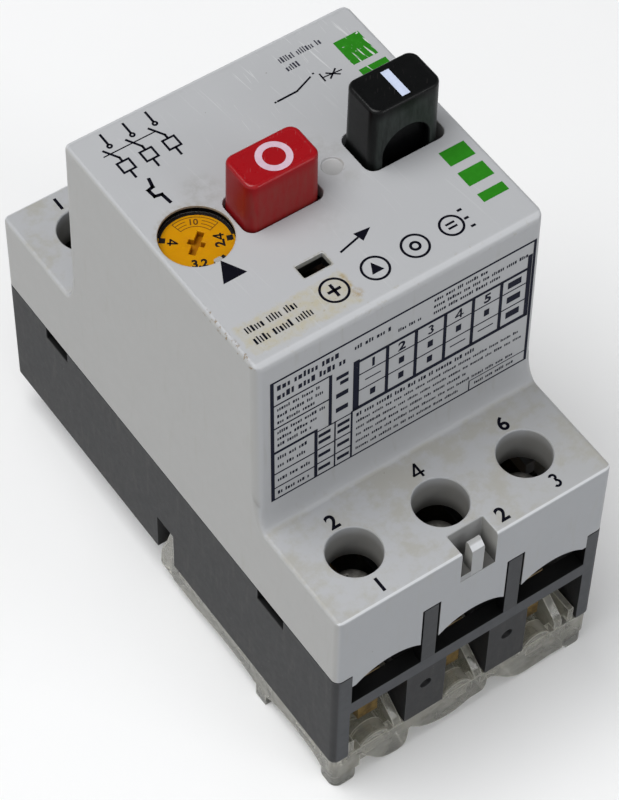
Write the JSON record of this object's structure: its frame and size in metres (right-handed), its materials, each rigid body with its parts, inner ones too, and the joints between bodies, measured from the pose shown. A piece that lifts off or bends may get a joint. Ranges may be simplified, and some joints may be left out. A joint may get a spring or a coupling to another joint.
{
  "type": "motor protection breaker",
  "caption": "Three-pole push-button motor protection breaker with setting dial, screw terminals on two ledges, thermal and magnetic release, and a rail foot.",
  "frame": {"origin": "centre of the width and length, on the plane of the mounting plate behind the rail", "axes": "+X across the poles to the right, +Y towards the supply end, +Z out of the front face"},
  "size_m": [0.045, 0.0828, 0.0878],
  "materials": {
    "cover_plastic": "moulded thermoplastic, satin light grey with light scratches",
    "housing_plastic": "moulded thermoset, dark grey, fine matte texture",
    "clear_plastic": "clear moulded plastic, slightly yellowed",
    "red_plastic": "red moulded push button, worn satin sides",
    "black_plastic": "black moulded plastic",
    "amber_plastic": "amber yellow moulded dial",
    "cream_plastic": "natural moulded plastic",
    "brown_plastic": "arc resistant thermoset",
    "steel": "rolled steel strip",
    "zinc_steel": "zinc plated steel",
    "brass": "stamped brass",
    "copper": "copper"
  },
  "bodies": {
    "housing": {"front_cover": "cover_plastic", "base_housing": "housing_plastic", "rear_cover": "clear_plastic", "mechanism_frame": "brown_plastic", "latch_axle": "zinc_steel", "trip_bar_axle": "zinc_steel", "start_spring": "zinc_steel", "stop_spring": "zinc_steel", "rail_spring": "zinc_steel", "line_contact_1": "brass", "line_contact_2": "brass", "line_contact_3": "brass", "load_contact_1": "brass", "load_contact_2": "brass", "load_contact_3": "brass", "load_terminal_1": "brass", "load_terminal_2": "brass", "load_terminal_3": "brass", "magnet_coil_1": "copper", "magnet_coil_2": "copper", "magnet_coil_3": "copper", "magnet_yoke_1": "steel", "magnet_yoke_2": "steel", "magnet_yoke_3": "steel"},
    "stop_button": {"stop_button": "red_plastic"},
    "start_button": {"start_button": "black_plastic"},
    "setting_dial": {"setting_dial": "amber_plastic"},
    "adjusting_lever": {"adjusting_lever": "cream_plastic"},
    "latch_lever": {"latch_lever": "steel"},
    "trip_bar": {"trip_bar": "cream_plastic"},
    "trip_lever": {"trip_lever": "cream_plastic"},
    "trip_slide": {"trip_slide": "cream_plastic"},
    "contact_carrier": {"contact_carrier": "brown_plastic", "moving_contact_1": "copper", "moving_contact_2": "copper", "moving_contact_3": "copper", "contact_spring_1": "zinc_steel", "contact_spring_2": "zinc_steel", "contact_spring_3": "zinc_steel"},
    "rail_clip": {"rail_clip": "black_plastic"},
    "magnet_plunger_1": {"magnet_plunger_1": "zinc_steel"},
    "bimetal_1": {"bimetal_1": "steel"},
    "magnet_plunger_2": {"magnet_plunger_2": "zinc_steel"},
    "bimetal_2": {"bimetal_2": "steel"},
    "magnet_plunger_3": {"magnet_plunger_3": "zinc_steel"},
    "bimetal_3": {"bimetal_3": "steel"},
    "terminal_screw_1": {"terminal_screw_1": "zinc_steel"},
    "wire_clamp_1": {"wire_clamp_1": "brass"},
    "terminal_screw_2": {"terminal_screw_2": "zinc_steel"},
    "wire_clamp_2": {"wire_clamp_2": "brass"},
    "terminal_screw_3": {"terminal_screw_3": "zinc_steel"},
    "wire_clamp_3": {"wire_clamp_3": "brass"},
    "terminal_screw_4": {"terminal_screw_4": "zinc_steel"},
    "wire_clamp_4": {"wire_clamp_4": "brass"},
    "terminal_screw_5": {"terminal_screw_5": "zinc_steel"},
    "wire_clamp_5": {"wire_clamp_5": "brass"},
    "terminal_screw_6": {"terminal_screw_6": "zinc_steel"},
    "wire_clamp_6": {"wire_clamp_6": "brass"}
  },
  "joints": [
    {"name": "start_press", "type": "slide", "parent": "housing", "child": "start_button", "axis": [0, 0, -1], "range_m": [0, 0.004], "stiffness_N_per_m": 200, "springref_m": -0.004, "deforming": ["start_spring"]},
    {"name": "carrier_close", "type": "slide", "parent": "housing", "child": "contact_carrier", "axis": [0, 0, -1], "range_m": [0, 0.004]},
    {"name": "stop_press", "type": "slide", "parent": "housing", "child": "stop_button", "axis": [0, 0, -1], "range_m": [0, 0.0025], "stiffness_N_per_m": 200, "springref_m": -0.004, "deforming": ["stop_spring"]},
    {"name": "latch_turn", "type": "hinge", "parent": "housing", "child": "latch_lever", "pos_m": [-0.0052, 0.0118, 0.0572], "axis": [1, 0, 0], "range_deg": [0, 11.6]},
    {"name": "dial_turn", "type": "hinge", "parent": "housing", "child": "setting_dial", "pos_m": [-0.0166, -0.00045, 0.074], "axis": [0, 0, 1], "range_deg": [-68, 129]},
    {"name": "adjuster_turn", "type": "hinge", "parent": "housing", "child": "adjusting_lever", "pos_m": [-0.0166, 0.012, 0.0655], "axis": [0, 0, 1], "range_deg": [-2.2, 4]},
    {"name": "trip_slide_shift", "type": "slide", "parent": "housing", "child": "trip_slide", "axis": [1, 0, 0], "range_m": [0, 0.0015]},
    {"name": "trip_lever_turn", "type": "hinge", "parent": "housing", "child": "trip_lever", "pos_m": [0.0154, -0.0063, 0.065], "axis": [0, 0, 1], "range_deg": [0, 9]},
    {"name": "bimetal_bend_1", "type": "hinge", "parent": "housing", "child": "bimetal_1", "pos_m": [-0.01103, -0.014, 0.0345], "axis": [0, 1, 0], "range_deg": [0, 3.4]},
    {"name": "bimetal_bend_2", "type": "hinge", "parent": "housing", "child": "bimetal_2", "pos_m": [0.00298, -0.014, 0.0345], "axis": [0, 1, 0], "range_deg": [0, 3.4]},
    {"name": "bimetal_bend_3", "type": "hinge", "parent": "housing", "child": "bimetal_3", "pos_m": [0.01698, -0.014, 0.0345], "axis": [0, 1, 0], "range_deg": [0, 3.4]},
    {"name": "trip_bar_turn", "type": "hinge", "parent": "housing", "child": "trip_bar", "pos_m": [0, -0.006, 0.0472], "axis": [1, 0, 0], "range_deg": [-12, 0]},
    {"name": "plunger_lift_1", "type": "slide", "parent": "housing", "child": "magnet_plunger_1", "axis": [0, 0, 1], "range_m": [0, 0.002]},
    {"name": "plunger_lift_2", "type": "slide", "parent": "housing", "child": "magnet_plunger_2", "axis": [0, 0, 1], "range_m": [0, 0.002]},
    {"name": "plunger_lift_3", "type": "slide", "parent": "housing", "child": "magnet_plunger_3", "axis": [0, 0, 1], "range_m": [0, 0.002]},
    {"name": "clamp_lift_1", "type": "slide", "parent": "housing", "child": "wire_clamp_1", "axis": [0, 0, 1], "range_m": [0, 0.0024]},
    {"name": "screw_turn_1", "type": "hinge", "parent": "housing", "child": "terminal_screw_1", "pos_m": [-0.014, -0.033, 0.033], "axis": [0, 0, 1], "range_deg": [-1238, 0]},
    {"name": "clamp_lift_2", "type": "slide", "parent": "housing", "child": "wire_clamp_2", "axis": [0, 0, 1], "range_m": [0, 0.0024]},
    {"name": "screw_turn_2", "type": "hinge", "parent": "housing", "child": "terminal_screw_2", "pos_m": [0, -0.033, 0.033], "axis": [0, 0, 1], "range_deg": [-1238, 0]},
    {"name": "clamp_lift_3", "type": "slide", "parent": "housing", "child": "wire_clamp_3", "axis": [0, 0, 1], "range_m": [0, 0.0024]},
    {"name": "screw_turn_3", "type": "hinge", "parent": "housing", "child": "terminal_screw_3", "pos_m": [0.014, -0.033, 0.033], "axis": [0, 0, 1], "range_deg": [-1238, 0]},
    {"name": "clamp_lift_4", "type": "slide", "parent": "housing", "child": "wire_clamp_4", "axis": [0, 0, 1], "range_m": [0, 0.0024]},
    {"name": "screw_turn_4", "type": "hinge", "parent": "housing", "child": "terminal_screw_4", "pos_m": [-0.014, 0.033, 0.033], "axis": [0, 0, 1], "range_deg": [-1238, 0]},
    {"name": "clamp_lift_5", "type": "slide", "parent": "housing", "child": "wire_clamp_5", "axis": [0, 0, 1], "range_m": [0, 0.0024]},
    {"name": "screw_turn_5", "type": "hinge", "parent": "housing", "child": "terminal_screw_5", "pos_m": [0, 0.033, 0.033], "axis": [0, 0, 1], "range_deg": [-1238, 0]},
    {"name": "clamp_lift_6", "type": "slide", "parent": "housing", "child": "wire_clamp_6", "axis": [0, 0, 1], "range_m": [0, 0.0024]},
    {"name": "screw_turn_6", "type": "hinge", "parent": "housing", "child": "terminal_screw_6", "pos_m": [0.014, 0.033, 0.033], "axis": [0, 0, 1], "range_deg": [-1238, 0]},
    {"name": "rail_clip_release", "type": "slide", "parent": "housing", "child": "rail_clip", "axis": [0, -1, 0], "range_m": [0, 0.0025], "stiffness_N_per_m": 20, "springref_m": -0.002}
  ],
  "couplings": [
    {"joint": "carrier_close", "follows": "start_press", "ratio": 1},
    {"joint": "latch_turn", "follows": "stop_press", "rad_per_m": 80},
    {"joint": "adjuster_turn", "follows": "dial_turn", "ratio": 0.03},
    {"joint": "trip_lever_turn", "follows": "trip_slide_shift", "rad_per_m": 100},
    {"joint": "bimetal_bend_1", "follows": "trip_slide_shift", "rad_per_m": 36.9},
    {"joint": "bimetal_bend_2", "follows": "trip_slide_shift", "rad_per_m": 36.9},
    {"joint": "bimetal_bend_3", "follows": "trip_slide_shift", "rad_per_m": 36.9},
    {"joint": "screw_turn_1", "follows": "clamp_lift_1", "rad_per_m": -8976},
    {"joint": "screw_turn_2", "follows": "clamp_lift_2", "rad_per_m": -8976},
    {"joint": "screw_turn_3", "follows": "clamp_lift_3", "rad_per_m": -8976},
    {"joint": "screw_turn_4", "follows": "clamp_lift_4", "rad_per_m": -8976},
    {"joint": "screw_turn_5", "follows": "clamp_lift_5", "rad_per_m": -8976},
    {"joint": "screw_turn_6", "follows": "clamp_lift_6", "rad_per_m": -8976}
  ]
}
